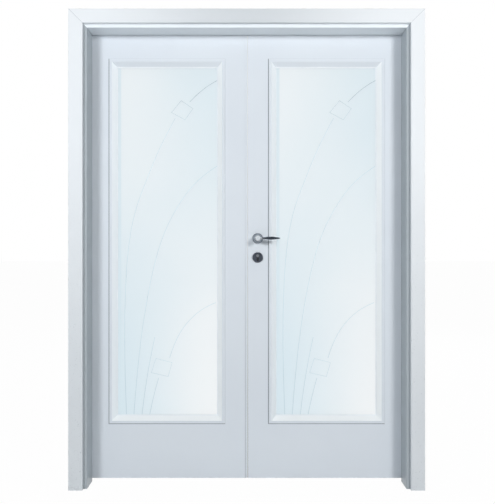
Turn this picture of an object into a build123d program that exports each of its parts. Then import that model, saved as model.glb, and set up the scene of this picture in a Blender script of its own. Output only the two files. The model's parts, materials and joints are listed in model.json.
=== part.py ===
from build123d import *
import os

# A double door: two glazed leaves hung in a rebated lining, with casings on both faces of the wall.
# The origin is the middle of the wall opening at floor level, +X right, +Y through the wall, +Z up.

# Driving dimensions, in millimetres
wall_thickness = 125.0
leaf_width = 708.0
leaf_height = 2030.0
leaf_thickness = 40.0
hinge_gap = 3.0
head_gap = 3.0
floor_gap = 14.0
meeting_gap = 3.0
strip_thickness = 7.0
stop_overlap = 11.0
stop_gap = 3.0
lining_thickness = 40.0
casing_width = 62.0
casing_thickness = 16.0
front_reveal = 16.0
rear_reveal = 8.0
hinge_stile = 86.0
meeting_stile = 96.0
top_rail = 118.0
bottom_rail = 250.0
lever_height = 1108.0
lever_backset = 45.0
lever_to_key = 79.0

# Clearances and edges shared by several pieces
overrun = 5.0
let_in_clearance = 0.2
running_clearance = 0.06
sliding_clearance = 0.3
match_tolerance = 0.05
panel_arris = 1.0
lining_arris = 2.0
casing_arris = 2.5

# Casing tongues and the lining grooves that take them
tongue_offset = 6.0
tongue_thickness = 6.0
tongue_depth = 12.0
groove_clearance = 0.2

# Stop gasket
seal_offset = 5.5
seal_stem = 3.0
seal_depth = 6.0
seal_bulb = 6.0
seal_relief = 0.4

# Glazing
bead_width = 30.0
bead_lip = 12.0
bead_lip_height = 4.0
bead_foot = 4.0
bead_arris = 1.0
glass_thickness = 6.0
glass_edge_gap = 3.0
tape_thickness = 1.0
setting_block_length = 60.0
setting_block_shares = (0.25, 0.75)

# Lift-off hinges
hinge_height = 110.0
hinge_plate_width = 30.0
hinge_plate_thickness = 2.0
hinge_barrel_radius = 7.0
hinge_barrel_chamfer = 1.0
hinge_barrel_clearance = 1.0
hinge_pin_radius = 3.5
hinge_pin_offset = 7.5
hinge_pin_cap = 5.0
hinge_collar = 1.2
hinge_collar_play = 0.1
hinge_top_inset = 220.0
hinge_bottom_inset = 250.0

# Wall fixings through each jamb
fixing_radius = 4.25
fixing_low = 450.0
fixing_high = 1600.0

# Meeting strip and its seal
strip_recess = 0.8
strip_arris = 1.0
strip_seal_setback = 4.5
strip_seal_stem = 3.0
strip_seal_depth = 3.5
strip_seal_reach = 1.5
strip_seal_height = 5.0

# Handle furniture
rosette_radius = 24.0
rosette_thickness = 8.0
rosette_round = 4.0
hub_radius = 13.0
hub_reach = 57.0
hub_round = 2.5
hub_play = 0.4
spigot_radius = 10.0
spigot_inset = 3.0
blade_reach = 100.0
blade_offset = 45.0
blade_height = 15.0
blade_depth = 11.0
# Along the reach, then the share of the height and of the depth there
blade_shares = (
    (0.04, 0.62, 0.95),
    (0.23, 0.54, 0.80),
    (0.40, 0.82, 0.92),
    (0.58, 1.00, 1.00),
    (0.80, 0.74, 0.82),
    (0.94, 0.42, 0.52),
    (1.00, 0.20, 0.26),
)
spindle_side = 8.0
spindle_play = 0.05
spindle_grip = 30.0
spindle_hole_radius = 12.0

# Key cylinder of the common profile: a round barrel on a narrow leg
cylinder_radius = 8.5
cylinder_leg = 10.0
cylinder_height = 33.0
cylinder_proud = 2.0
escutcheon_drop = 8.0
plug_radius = 6.5
keyway_width = 2.4
keyway_height = 8.6
keyway_depth = 14.0
cam_length = 10.0
cam_radius = 8.4
cam_reach = 15.0
cam_width = 8.0
cam_play = 0.3

# Mortise lock
forend_thickness = 3.0
forend_width = 20.0
forend_margin = 24.0
forend_corner = 9.0
case_depth = 72.0
case_thickness = 15.0
case_wall = 1.5
case_top_margin = 20.0
case_bottom_margin = 42.0
follower_radius = 11.0
follower_journal_radius = 8.0
follower_arm_reach = 18.0
follower_arm_width = 6.0
bolt_tail = 40.0
bolt_round = 2.5
latch_rise = 30.0
latch_height = 16.0
latch_thickness = 10.0
latch_throw = 12.0
dead_bolt_rise = 30.0
dead_bolt_height = 20.0
dead_bolt_thickness = 10.0
dead_bolt_throw = 20.0

# Strike on the passive leaf
strike_thickness = 2.0
strike_width = 20.0
strike_margin = 22.0
strike_corner = 9.0
keeper_clearance = 1.0
keeper_depth_spare = 2.5

# Flush bolts in the passive leaf's meeting edge
housing_length = 170.0
housing_width = 18.0
housing_depth = 16.0
housing_floor = 6.0
flush_bolt_radius = 5.0
flush_bolt_length = 125.0
flush_bolt_setback = 8.0
flush_bolt_inset = 0.5
flush_bolt_chamfer = 1.0
flush_bolt_throw = 20.0
thumb_width = 7.0
thumb_length = 18.0
thumb_inset = 0.8
keep_length = 34.0
keep_width = 20.0
keep_thickness = 2.0

# Planes and faces worked out from the sizes above
half_wall = wall_thickness / 2
leaf_rear = half_wall
leaf_front = leaf_rear - leaf_thickness
leaf_mid = (leaf_front + leaf_rear) / 2
leaf_in = (meeting_gap + strip_thickness) / 2
leaf_out = leaf_in + leaf_width
leaf_bottom = floor_gap
leaf_top = leaf_bottom + leaf_height
rebate_x = leaf_out + hinge_gap
rebate_z = leaf_top + head_gap
stop_x = rebate_x - stop_overlap
stop_z = rebate_z - stop_overlap
stop_y = leaf_front - stop_gap
hinge_x = leaf_out + hinge_gap / 2
hinge_y = leaf_rear + hinge_pin_offset
hinge_high = leaf_top - hinge_top_inset
hinge_low = leaf_bottom + hinge_bottom_inset
hinge_heights = (hinge_low, (hinge_low + hinge_high) / 2, hinge_high)
bead_left = leaf_in + meeting_stile
bead_right = leaf_out - hinge_stile
bead_bottom = leaf_bottom + bottom_rail
bead_top = leaf_top - top_rail
glass_front = leaf_mid - glass_thickness / 2
glass_rear = leaf_mid + glass_thickness / 2
lever_x = leaf_in + lever_backset
key_height = lever_height - lever_to_key
latch_z = lever_height + latch_rise
dead_bolt_z = key_height + dead_bolt_rise
case_front = leaf_in + forend_thickness
case_back = case_front + case_depth
case_bottom = key_height - case_bottom_margin
case_top = latch_z + case_top_margin
strip_face = strip_thickness - leaf_in
flush_bolt_x = strip_face - flush_bolt_setback


def block(x_span, y_span, z_span):
    size = [high - low for low, high in (x_span, y_span, z_span)]
    middle = [(low + high) / 2 for low, high in (x_span, y_span, z_span)]
    return Pos(*middle) * Box(*size)


def about(middle, size):
    return (middle - size / 2, middle + size / 2)


def upright_bar(x, y, z_span, radius):
    return Pos(x, y, z_span[0]) * extrude(Circle(radius), amount=z_span[1] - z_span[0])


# A lining, casing or seal runs up both sides and across the head, with mitred top corners.
# Its section lies in (distance outwards from the inner edge, place through the wall).
def surround(section, inner_x, inner_z, reach):
    right_corner = Plane(origin=(inner_x, 0, inner_z), z_dir=(-1, 0, 1))
    left_corner = Plane(origin=(-inner_x, 0, inner_z), z_dir=(1, 0, 1))
    post = extrude(Pos(inner_x, 0) * section, amount=inner_z + reach)
    right = split(post, bisect_by=right_corner, keep=Keep.BOTTOM)
    span = inner_x + reach
    across = Plane(origin=(span, 0, inner_z), x_dir=(0, 0, 1), z_dir=(-1, 0, 0))
    head = extrude(across * section, amount=2 * span)
    head = split(head, bisect_by=right_corner, keep=Keep.TOP)
    head = split(head, bisect_by=left_corner, keep=Keep.TOP)
    return mirror(right, about=Plane.YZ), right, head


def section_from(points):
    return make_face(Polyline(*points, close=True))


def rounded_at(section, y, radius):
    corners = [v for v in section.vertices() if abs(v.Y - y) < match_tolerance]
    return fillet(corners, radius)


def lining_section():
    front_groove = (front_reveal + tongue_offset, front_reveal + tongue_offset + tongue_thickness)
    rear_start = stop_overlap + rear_reveal + tongue_offset
    rear_groove = (rear_start, rear_start + tongue_thickness)
    section = section_from(
        [
            (0, -half_wall),
            (lining_thickness, -half_wall),
            (lining_thickness, half_wall),
            (stop_overlap, half_wall),
            (stop_overlap, stop_y),
            (0, stop_y),
        ]
    )
    front_arris = [v for v in section.vertices() if v.X < stop_overlap / 2 and v.Y < 0]
    section = fillet(front_arris, lining_arris)
    groove_run = tongue_depth + groove_clearance
    for (start, end), face in ((front_groove, -half_wall), (rear_groove, half_wall)):
        width = end - start + 2 * groove_clearance
        section -= Pos((start + end) / 2, face) * Rectangle(width, 2 * groove_run)
    seal_slot = Rectangle(seal_stem, 2 * seal_depth)
    return section - Pos(seal_offset, stop_y) * seal_slot


def casing_section(outwards):
    wall_face = outwards * half_wall
    show_face = wall_face + outwards * casing_thickness
    tongue_end = wall_face - outwards * tongue_depth
    section = section_from(
        [
            (0, wall_face),
            (0, show_face),
            (casing_width, show_face),
            (casing_width, wall_face),
            (tongue_offset + tongue_thickness, wall_face),
            (tongue_offset + tongue_thickness, tongue_end),
            (tongue_offset, tongue_end),
            (tongue_offset, wall_face),
        ]
    )
    return rounded_at(section, show_face, casing_arris)


def seal_section():
    half_bulb = seal_bulb / 2
    crown = stop_y + stop_gap - seal_relief
    flat = Line((seal_offset - half_bulb, stop_y), (seal_offset + half_bulb, stop_y))
    round_top = ThreePointArc(flat @ 1, (seal_offset, crown), flat @ 0)
    stem = Rectangle(seal_stem, seal_depth - groove_clearance)
    stem = Pos(seal_offset, stop_y - (seal_depth - groove_clearance) / 2) * stem
    return make_face([flat, round_top]) + stem


# Hinges, made for the right-hand leaf and mirrored for the left one
def hinge_span(height):
    return about(height, hinge_height)


def hinge_plate(x_span, height, own_barrel, other_barrel):
    plate_y = leaf_rear - hinge_plate_width
    plate = block(x_span, (plate_y, hinge_y), hinge_span(height))
    beside = hinge_y - hinge_barrel_radius - hinge_barrel_clearance
    cut_x = (x_span[0] - overrun, x_span[1] + overrun)
    plate -= block(cut_x, (beside, hinge_y + overrun), other_barrel)
    barrel = upright_bar(hinge_x, hinge_y, own_barrel, hinge_barrel_radius)
    rims = barrel.edges().filter_by(GeomType.CIRCLE)
    return plate + chamfer(rims, hinge_barrel_chamfer)


def hinge_frame_half(height):
    low, high = hinge_span(height)
    lower = (low, height - hinge_collar / 2)
    upper = (height - hinge_collar / 2, high + overrun)
    half = hinge_plate((rebate_x, rebate_x + hinge_plate_thickness), height, lower, upper)
    return half - upright_bar(hinge_x, hinge_y, lower, hinge_pin_radius + running_clearance)


def hinge_leaf_half(height):
    low, high = hinge_span(height)
    upper = (height + hinge_collar / 2 + hinge_collar_play, high)
    lower = (low - overrun, height + hinge_collar / 2 + hinge_collar_play)
    half = hinge_plate((leaf_out - hinge_plate_thickness, leaf_out), height, upper, lower)
    bore = (upper[0], high - hinge_pin_cap + hinge_collar)
    return half - upright_bar(hinge_x, hinge_y, bore, hinge_pin_radius + running_clearance)


def hinge_pin(height):
    low, high = hinge_span(height)
    pin = upright_bar(hinge_x, hinge_y, (low, high - hinge_pin_cap), hinge_pin_radius)
    collar = about(height, hinge_collar)
    return pin + upright_bar(hinge_x, hinge_y, collar, hinge_barrel_radius - hinge_barrel_chamfer)


def hinge_recess(x_span, height):
    low, high = hinge_span(height)
    z_span = (low - let_in_clearance, high + let_in_clearance)
    y_span = (leaf_rear - hinge_plate_width - let_in_clearance, leaf_rear + overrun)
    return block(x_span, y_span, z_span)


# Glazing, made for the right-hand leaf
def glazing_hole():
    x_span = (bead_left + bead_lip, bead_right - bead_lip)
    z_span = (bead_bottom + bead_lip, bead_top - bead_lip)
    return x_span, z_span


def bead_section():
    seat = leaf_mid - leaf_front - glass_thickness / 2 - tape_thickness
    body = bead_lip + let_in_clearance
    section = section_from(
        [
            (0, 0),
            (0, bead_lip_height),
            (bead_lip, bead_lip_height),
            (bead_width, bead_foot - seat),
            (bead_width, -seat),
            (body, -seat),
            (body, 0),
        ]
    )
    outer_rim = [v for v in section.vertices() if v.X < bead_lip / 2 and v.Y > 0]
    return fillet(outer_rim, bead_arris)


def bead(start, end, inward, outward):
    run = end - start
    along = inward.cross(outward)
    first = start if run.dot(along) > 0 else end
    bar = extrude(Plane(origin=first, x_dir=inward, z_dir=along) * bead_section(), amount=run.length)
    for corner, away in ((start, run.normalized()), (end, -run.normalized())):
        bar = split(bar, bisect_by=Plane(origin=corner, z_dir=inward - away), keep=Keep.BOTTOM)
    return bar


def beads(face, outward):
    low_left, low_right = Vector(bead_left, face, bead_bottom), Vector(bead_right, face, bead_bottom)
    top_left, top_right = Vector(bead_left, face, bead_top), Vector(bead_right, face, bead_top)
    right, up = Vector(1, 0, 0), Vector(0, 0, 1)
    stiles = [bead(low_left, top_left, right, outward), bead(low_right, top_right, -right, outward)]
    rails = [bead(low_left, low_right, up, outward), bead(top_left, top_right, -up, outward)]
    return stiles, rails


def glazing():
    (x_low, x_high), (z_low, z_high) = glazing_hole()
    x_span = (x_low + glass_edge_gap, x_high - glass_edge_gap)
    z_span = (z_low + glass_edge_gap, z_high - glass_edge_gap)
    glass = block(x_span, (glass_front, glass_rear), z_span)
    sight_x = (bead_left + bead_width, bead_right - bead_width)
    sight_z = (bead_bottom + bead_width, bead_top - bead_width)
    tapes = []
    for y_span in ((glass_front - tape_thickness, glass_front), (glass_rear, glass_rear + tape_thickness)):
        tapes.append(block(x_span, y_span, z_span) - block(sight_x, y_span, sight_z))
    blocks = []
    for share in setting_block_shares:
        middle = x_low + share * (x_high - x_low)
        length = about(middle, setting_block_length)
        blocks.append(block(length, (glass_front, glass_rear), (z_low, z_span[0])))
    return glass, tapes, blocks


def leaf_panel():
    panel = block((leaf_in, leaf_out), (leaf_front, leaf_rear), (leaf_bottom, leaf_top))
    panel = chamfer(panel.edges().filter_by(Axis.Z), panel_arris)
    hole_x, hole_z = glazing_hole()
    panel -= block(hole_x, (leaf_front - overrun, leaf_rear + overrun), hole_z)
    for height in hinge_heights:
        panel -= hinge_recess((leaf_out - hinge_plate_thickness, leaf_out + overrun), height)
    return panel


# Furniture is turned about an axis that points out of the leaf's front face.
def face_plane(x, y, z):
    return Plane(origin=(x, y, z), x_dir=(1, 0, 0), z_dir=(0, -1, 0))


def turned(x, z, points):
    outline = Plane(origin=(x, leaf_front, z), x_dir=(1, 0, 0), z_dir=(0, 0, 1)) * section_from(
        [(radius, -out) for radius, out in points]
    )
    return revolve(outline, Axis((x, leaf_front, z), (0, 1, 0)))


def rim_at(body, radius, out):
    rims = body.edges().filter_by(GeomType.CIRCLE)
    rims = [e for e in rims if abs(e.radius - radius) < match_tolerance]
    return [e for e in rims if abs(leaf_front - out - e.center().Y) < match_tolerance]


def rosette(z, bore):
    disc = turned(
        lever_x,
        z,
        [(0, 0), (rosette_radius, 0), (rosette_radius, rosette_thickness), (0, rosette_thickness)],
    )
    disc = fillet(rim_at(disc, rosette_radius, rosette_thickness), rosette_round)
    return disc - bore


def round_bore():
    start = face_plane(lever_x, leaf_front + overrun, lever_height)
    bore = Circle(spigot_radius + sliding_clearance)
    return extrude(start * bore, amount=rosette_thickness + 2 * overrun)


# The lever's blade is a loft of ellipses that thins behind the hub, swells and runs out to a point.
def lever():
    hub_foot = rosette_thickness + hub_play
    hub = turned(
        lever_x,
        lever_height,
        [
            (0, spigot_inset),
            (spigot_radius, spigot_inset),
            (spigot_radius, hub_foot),
            (hub_radius, hub_foot),
            (hub_radius, hub_reach),
            (0, hub_reach),
        ],
    )
    hub = fillet(rim_at(hub, hub_radius, hub_reach), hub_round)
    slices = []
    for along, tall, deep in blade_shares:
        place = (lever_x + along * blade_reach, leaf_front - blade_offset, lever_height)
        across = Plane(origin=place, x_dir=(0, 1, 0), z_dir=(1, 0, 0))
        slices.append(across * Ellipse(deep * blade_depth / 2, tall * blade_height / 2))
    handle = hub + loft(slices)
    socket = spindle_side + 2 * spindle_play
    socket_y = (leaf_front - spindle_grip, leaf_front + overrun)
    return handle - block(about(lever_x, socket), socket_y, about(lever_height, socket))


def cylinder_profile(grow):
    leg_end = cylinder_height - cylinder_radius - cylinder_leg / 2
    leg = Pos(0, -leg_end / 2) * Rectangle(cylinder_leg + 2 * grow, leg_end)
    foot = Pos(0, -leg_end) * Circle(cylinder_leg / 2 + grow)
    return Circle(cylinder_radius + grow) + leg + foot


def through_leaf(profile, proud):
    start = face_plane(lever_x, leaf_rear + proud, key_height)
    return extrude(start * profile, amount=leaf_thickness + 2 * proud)


def key_cylinder():
    proud = rosette_thickness + cylinder_proud
    body = through_leaf(cylinder_profile(0), proud)
    body -= through_leaf(Circle(plug_radius + running_clearance), proud + overrun)
    sweep = Vector(cam_reach, cam_width / 2).length + cam_play
    body -= block(about(lever_x, 2 * sweep), about(leaf_mid, cam_length), about(key_height, 2 * sweep))
    return body


def cylinder_plug():
    proud = rosette_thickness + cylinder_proud
    plug = through_leaf(Circle(plug_radius), proud)
    for face in (leaf_front - proud, leaf_rear + proud):
        slot_y = about(face, 2 * keyway_depth)
        plug -= block(about(lever_x, keyway_width), slot_y, about(key_height, keyway_height))
    return plug


def cylinder_cam():
    ring = Circle(cam_radius) + Pos(cam_reach / 2, 0) * Rectangle(cam_reach, cam_width)
    ring -= Circle(plug_radius)
    length = cam_length - 2 * cam_play
    return extrude(face_plane(lever_x, leaf_mid + length / 2, key_height) * ring, amount=length)


# The lock case is a sheet box, open towards the forend, with its works inside.
def lock_case():
    case = block((case_front, case_back), about(leaf_mid, case_thickness), (case_bottom, case_top))
    case -= block(
        (case_front - overrun, case_back - case_wall),
        about(leaf_mid, case_thickness - 2 * case_wall),
        (case_bottom + case_wall, case_top - case_wall),
    )
    journal = Circle(follower_journal_radius + running_clearance)
    start = face_plane(lever_x, leaf_mid + case_thickness, lever_height)
    case -= extrude(start * journal, amount=2 * case_thickness)
    return case - through_leaf(cylinder_profile(let_in_clearance), 0)


def bolt_opening(height, width, z, clearance):
    y_span = about(leaf_mid, width + 2 * clearance)
    z_span = about(z, height + 2 * clearance)
    return y_span, z_span


def lock_forend():
    z_span = (case_bottom - forend_margin, case_top + forend_margin)
    forend = block((leaf_in, case_front), about(leaf_mid, forend_width), z_span)
    forend = fillet(forend.edges().filter_by(Axis.X), forend_corner)
    for height, width, z in lock_bolts:
        y_hole, z_hole = bolt_opening(height, width, z, sliding_clearance)
        forend -= block((leaf_in - overrun, case_front + overrun), y_hole, z_hole)
    return forend


def sliding_bolt(height, width, z):
    y_span, z_span = bolt_opening(height, width, z, 0)
    bolt = block((leaf_in, leaf_in + bolt_tail), y_span, z_span)
    nose = [e for e in bolt.edges().filter_by(Axis.Z) if e.center().X < case_front]
    return fillet(nose, bolt_round)


def lock_follower():
    inside = case_thickness - 2 * case_wall - 2 * sliding_clearance
    arm = Pos(0, follower_arm_reach / 2) * Rectangle(follower_arm_width, follower_arm_reach)
    disc = Circle(follower_radius) + arm
    follower = extrude(face_plane(lever_x, leaf_mid + inside / 2, lever_height) * disc, amount=inside)
    start = face_plane(lever_x, leaf_mid + case_thickness / 2, lever_height)
    follower += extrude(start * Circle(follower_journal_radius), amount=case_thickness)
    socket = spindle_side + 2 * spindle_play
    socket_y = about(leaf_mid, 2 * case_thickness)
    return follower - block(about(lever_x, socket), socket_y, about(lever_height, socket))


lock_bolts = (
    (latch_height, latch_thickness, latch_z),
    (dead_bolt_height, dead_bolt_thickness, dead_bolt_z),
)


def active_panel():
    panel = leaf_panel()
    pocket = case_thickness + 2 * let_in_clearance
    z_span = (case_bottom - let_in_clearance, case_top + let_in_clearance)
    panel -= block((leaf_in - overrun, case_back + let_in_clearance), about(leaf_mid, pocket), z_span)
    z_span = (case_bottom - forend_margin - let_in_clearance, case_top + forend_margin + let_in_clearance)
    recess = forend_width + 2 * let_in_clearance
    panel -= block((leaf_in - overrun, case_front), about(leaf_mid, recess), z_span)
    spindle_hole = face_plane(lever_x, leaf_rear + overrun, lever_height) * Circle(spindle_hole_radius)
    panel -= extrude(spindle_hole, amount=leaf_thickness + 2 * overrun)
    return panel - through_leaf(cylinder_profile(let_in_clearance), overrun)


# The passive leaf lies to the left: its strip face looks towards +X.
def keepers(deepest):
    cuts = []
    for (height, width, z), throw in zip(lock_bolts, (latch_throw, dead_bolt_throw)):
        y_span, z_span = bolt_opening(height, width, z, keeper_clearance)
        tip = leaf_in - throw - keeper_depth_spare
        cuts.append(block((max(tip, deepest), strip_face + overrun), y_span, z_span))
    return cuts


def strike_spans():
    z_low = dead_bolt_z - dead_bolt_height / 2 - strike_margin
    z_high = latch_z + latch_height / 2 + strike_margin
    return about(leaf_mid, strike_width), (z_low, z_high)


def strike_plate():
    y_span, z_span = strike_spans()
    plate = block((strip_face - strike_thickness, strip_face), y_span, z_span)
    plate = fillet(plate.edges().filter_by(Axis.X), strike_corner)
    return plate - keepers(-leaf_in)


def top_housing_span():
    return (leaf_top - housing_length, leaf_top)


def housing_block(clearance):
    x_span = (strip_face - housing_depth - clearance, strip_face)
    low, high = top_housing_span()
    return block(x_span, about(leaf_mid, housing_width + 2 * clearance), (low - clearance, high))


def flush_bolt_span():
    rest_end = leaf_top - flush_bolt_inset
    return (rest_end - flush_bolt_length, rest_end)


def top_bolt_housing():
    low, high = top_housing_span()
    housing = housing_block(0)
    bore = (low + housing_floor, high + overrun)
    housing -= upright_bar(flush_bolt_x, leaf_mid, bore, flush_bolt_radius + sliding_clearance)
    foot = flush_bolt_span()[0]
    slot = (foot - sliding_clearance, foot + thumb_length + flush_bolt_throw + sliding_clearance)
    slot_y = about(leaf_mid, thumb_width + 2 * sliding_clearance)
    return housing - block((flush_bolt_x, strip_face + overrun), slot_y, slot)


def top_bolt():
    low, high = flush_bolt_span()
    rod = upright_bar(flush_bolt_x, leaf_mid, (low, high), flush_bolt_radius)
    tip = [e for e in rod.edges().filter_by(GeomType.CIRCLE) if e.center().Z > low + thumb_length]
    rod = chamfer(tip, flush_bolt_chamfer)
    thumb_x = (flush_bolt_x, strip_face - thumb_inset)
    return rod + block(thumb_x, about(leaf_mid, thumb_width), (low, low + thumb_length))


def low_copy(piece):
    middle = (leaf_bottom + leaf_top) / 2
    return mirror(piece, about=Plane(origin=(0, 0, middle), z_dir=(0, 0, 1)))


def passive_panel():
    panel = mirror(leaf_panel(), about=Plane.YZ)
    panel -= keepers(-leaf_in - leaf_width)
    recess = housing_block(let_in_clearance) + Pos(0, 0, overrun) * housing_block(let_in_clearance)
    return panel - recess - low_copy(recess)


def strip_seal_place():
    return leaf_front + strip_recess + strip_seal_setback


def meeting_strip():
    y_span = (leaf_front + strip_recess, leaf_rear - strip_recess)
    strip = block((-leaf_in, strip_face), y_span, (leaf_bottom, leaf_top))
    shown = [e for e in strip.edges().filter_by(Axis.Z) if e.center().X > 0]
    strip = chamfer(shown, strip_arris)
    slot_x = (strip_face - strip_seal_depth, strip_face + overrun)
    slot_y = about(strip_seal_place(), strip_seal_stem)
    strip -= block(slot_x, slot_y, (leaf_bottom - overrun, leaf_top + overrun))
    strip -= keepers(-leaf_in - overrun)
    y_span, (z_low, z_high) = strike_spans()
    recess_y = (y_span[0] - let_in_clearance, y_span[1] + let_in_clearance)
    recess_z = (z_low - let_in_clearance, z_high + let_in_clearance)
    strip -= block((strip_face - strike_thickness, strip_face + overrun), recess_y, recess_z)
    recess = housing_block(let_in_clearance) + Pos(overrun, 0, overrun) * housing_block(let_in_clearance)
    return strip - recess - low_copy(recess)


def meeting_seal():
    place = strip_seal_place()
    half = strip_seal_height / 2
    flat = Line((strip_face, place - half), (strip_face, place + half))
    nose = ThreePointArc(flat @ 1, (strip_face + strip_seal_reach, place), flat @ 0)
    stem_length = strip_seal_depth - groove_clearance
    stem = Pos(strip_face - stem_length / 2, place) * Rectangle(stem_length, strip_seal_stem)
    section = make_face([flat, nose]) + stem
    return extrude(Pos(0, 0, leaf_bottom) * section, amount=leaf_height)


def head_keep():
    x_span = about(flush_bolt_x, keep_length)
    plate = block(x_span, about(leaf_mid, keep_width), (rebate_z, rebate_z + keep_thickness))
    hole_z = (rebate_z - overrun, rebate_z + keep_thickness + overrun)
    return plate - upright_bar(flush_bolt_x, leaf_mid, hole_z, flush_bolt_radius + keeper_clearance)


def frame_lining():
    left, right, head = surround(lining_section(), stop_x, stop_z, lining_thickness)
    for height in hinge_heights:
        right -= hinge_recess((rebate_x - overrun, rebate_x + hinge_plate_thickness), height)
    fixing_y = (stop_y + half_wall) / 2
    for height in (fixing_low, fixing_high):
        run = Plane(origin=(stop_x, fixing_y, height), z_dir=(1, 0, 0))
        right -= extrude(run * Circle(fixing_radius), amount=lining_thickness + overrun)
    left = mirror(right, about=Plane.YZ)
    keep_x = about(flush_bolt_x, keep_length + 2 * let_in_clearance)
    keep_y = about(leaf_mid, keep_width + 2 * let_in_clearance)
    head -= block(keep_x, keep_y, (rebate_z - overrun, rebate_z + keep_thickness))
    reach = rebate_z + flush_bolt_throw
    head -= upright_bar(flush_bolt_x, leaf_mid, (rebate_z, reach), flush_bolt_radius + keeper_clearance)
    return left, right, head


def handle_spindle():
    y_span = (leaf_front - spindle_grip + let_in_clearance, leaf_rear + spindle_grip - let_in_clearance)
    return block(about(lever_x, spindle_side), y_span, about(lever_height, spindle_side))


def to_rear(piece):
    return mirror(piece, about=Plane(origin=(0, leaf_mid, 0), z_dir=(0, 1, 0)))


def to_left(pieces):
    return [mirror(piece, about=Plane.YZ) for piece in pieces]


nodes = {}
nodes["jamb_left"], nodes["jamb_right"], nodes["head_lining"] = frame_lining()
front_surround = surround(casing_section(-1), stop_x + front_reveal, stop_z + front_reveal, casing_width)
rear_surround = surround(casing_section(1), rebate_x + rear_reveal, rebate_z + rear_reveal, casing_width)
seal_surround = surround(seal_section(), stop_x, stop_z, lining_thickness)
for place, front, rear, seal in zip(("left", "right", "head"), front_surround, rear_surround, seal_surround):
    nodes["front_casing_" + place] = front
    nodes["rear_casing_" + place] = rear
    nodes["seal_" + place] = seal
nodes["head_keep"] = head_keep()

hinge_sets = {
    "hinge_frame_halves": [hinge_frame_half(height) for height in hinge_heights],
    "hinge_pins": [hinge_pin(height) for height in hinge_heights],
    "hinge_leaf_halves": [hinge_leaf_half(height) for height in hinge_heights],
}
for name, pieces in hinge_sets.items():
    nodes[name + "_right"] = pieces
    nodes[name + "_left"] = to_left(pieces)

glass, tapes, blocks = glazing()
front_stiles, front_rails = beads(leaf_front, Vector(0, -1, 0))
rear_stiles, rear_rails = beads(leaf_rear, Vector(0, 1, 0))
glazing_sets = {
    "glass": [glass],
    "glazing_tapes": tapes,
    "setting_blocks": blocks,
    "front_bead_stiles": front_stiles,
    "front_bead_rails": front_rails,
    "rear_bead_stiles": rear_stiles,
    "rear_bead_rails": rear_rails,
}
for name, pieces in glazing_sets.items():
    nodes["active_" + name] = pieces
    nodes["passive_" + name] = to_left(pieces)

nodes["passive_panel"] = passive_panel()
nodes["meeting_strip"] = meeting_strip()
nodes["meeting_seal"] = meeting_seal()
nodes["strike_plate"] = strike_plate()
nodes["top_bolt_housing"] = top_bolt_housing()
nodes["top_bolt"] = top_bolt()
nodes["bottom_bolt_housing"] = low_copy(nodes["top_bolt_housing"])
nodes["bottom_bolt"] = low_copy(nodes["top_bolt"])

nodes["active_panel"] = active_panel()
nodes["lock_case"] = lock_case()
nodes["lock_forend"] = lock_forend()
nodes["lock_follower"] = lock_follower()
nodes["latch_bolt"] = sliding_bolt(*lock_bolts[0])
nodes["dead_bolt"] = sliding_bolt(*lock_bolts[1])
nodes["handle_spindle"] = handle_spindle()
nodes["front_lever"] = lever()
nodes["rear_lever"] = to_rear(nodes["front_lever"])
nodes["front_rosette"] = rosette(lever_height, round_bore())
nodes["rear_rosette"] = to_rear(nodes["front_rosette"])
profile_bore = through_leaf(cylinder_profile(let_in_clearance), leaf_thickness)
nodes["front_escutcheon"] = rosette(key_height - escutcheon_drop, profile_bore)
nodes["rear_escutcheon"] = to_rear(nodes["front_escutcheon"])
nodes["key_cylinder"] = key_cylinder()
nodes["cylinder_plug"] = cylinder_plug()
nodes["cylinder_cam"] = cylinder_cam()

os.makedirs("parts", exist_ok=True)
for name, piece in nodes.items():
    solids = piece if isinstance(piece, list) else [piece]
    export_step(Compound(children=solids), "parts/" + name + ".step")
print(len(nodes), "nodes written")
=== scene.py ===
import bpy
import bmesh
import json
import math
from mathutils import Matrix, Vector


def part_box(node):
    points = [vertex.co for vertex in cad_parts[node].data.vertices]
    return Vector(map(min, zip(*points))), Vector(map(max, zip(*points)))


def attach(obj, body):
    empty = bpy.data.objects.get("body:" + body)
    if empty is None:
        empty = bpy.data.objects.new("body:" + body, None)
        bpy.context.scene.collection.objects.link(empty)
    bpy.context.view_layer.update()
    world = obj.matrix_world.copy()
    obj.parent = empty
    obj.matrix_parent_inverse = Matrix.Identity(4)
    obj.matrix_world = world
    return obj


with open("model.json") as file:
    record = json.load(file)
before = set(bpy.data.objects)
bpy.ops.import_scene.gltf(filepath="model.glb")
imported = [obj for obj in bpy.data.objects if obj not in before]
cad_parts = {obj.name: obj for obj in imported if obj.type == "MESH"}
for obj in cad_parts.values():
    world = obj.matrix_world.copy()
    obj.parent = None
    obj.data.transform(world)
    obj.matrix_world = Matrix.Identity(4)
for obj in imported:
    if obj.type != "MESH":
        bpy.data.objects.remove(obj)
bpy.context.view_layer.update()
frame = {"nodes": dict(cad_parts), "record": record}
nodes = frame["nodes"]
print("frame loaded,", len(nodes), "nodes")


# Node helpers

def addNode(tree, kind, place=(0, 0), **settings):
    node = tree.nodes.new(kind)
    node.location = place
    for key, value in settings.items():
        setattr(node, key, value)
    return node


def setOrLink(tree, socket, value):
    if isinstance(value, (int, float, tuple)):
        socket.default_value = value
    else:
        tree.links.new(value, socket)


def mathNode(tree, operation, first, second=None, clamp=False):
    node = addNode(tree, "ShaderNodeMath", operation=operation, use_clamp=clamp)
    setOrLink(tree, node.inputs[0], first)
    if second is not None:
        setOrLink(tree, node.inputs[1], second)
    return node.outputs[0]


def noiseNode(tree, vector, scale, detail=3.0, roughness=0.5):
    node = addNode(tree, "ShaderNodeTexNoise")
    node.inputs["Scale"].default_value = scale
    node.inputs["Detail"].default_value = detail
    node.inputs["Roughness"].default_value = roughness
    tree.links.new(vector, node.inputs["Vector"])
    return node.outputs["Fac"]


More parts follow.
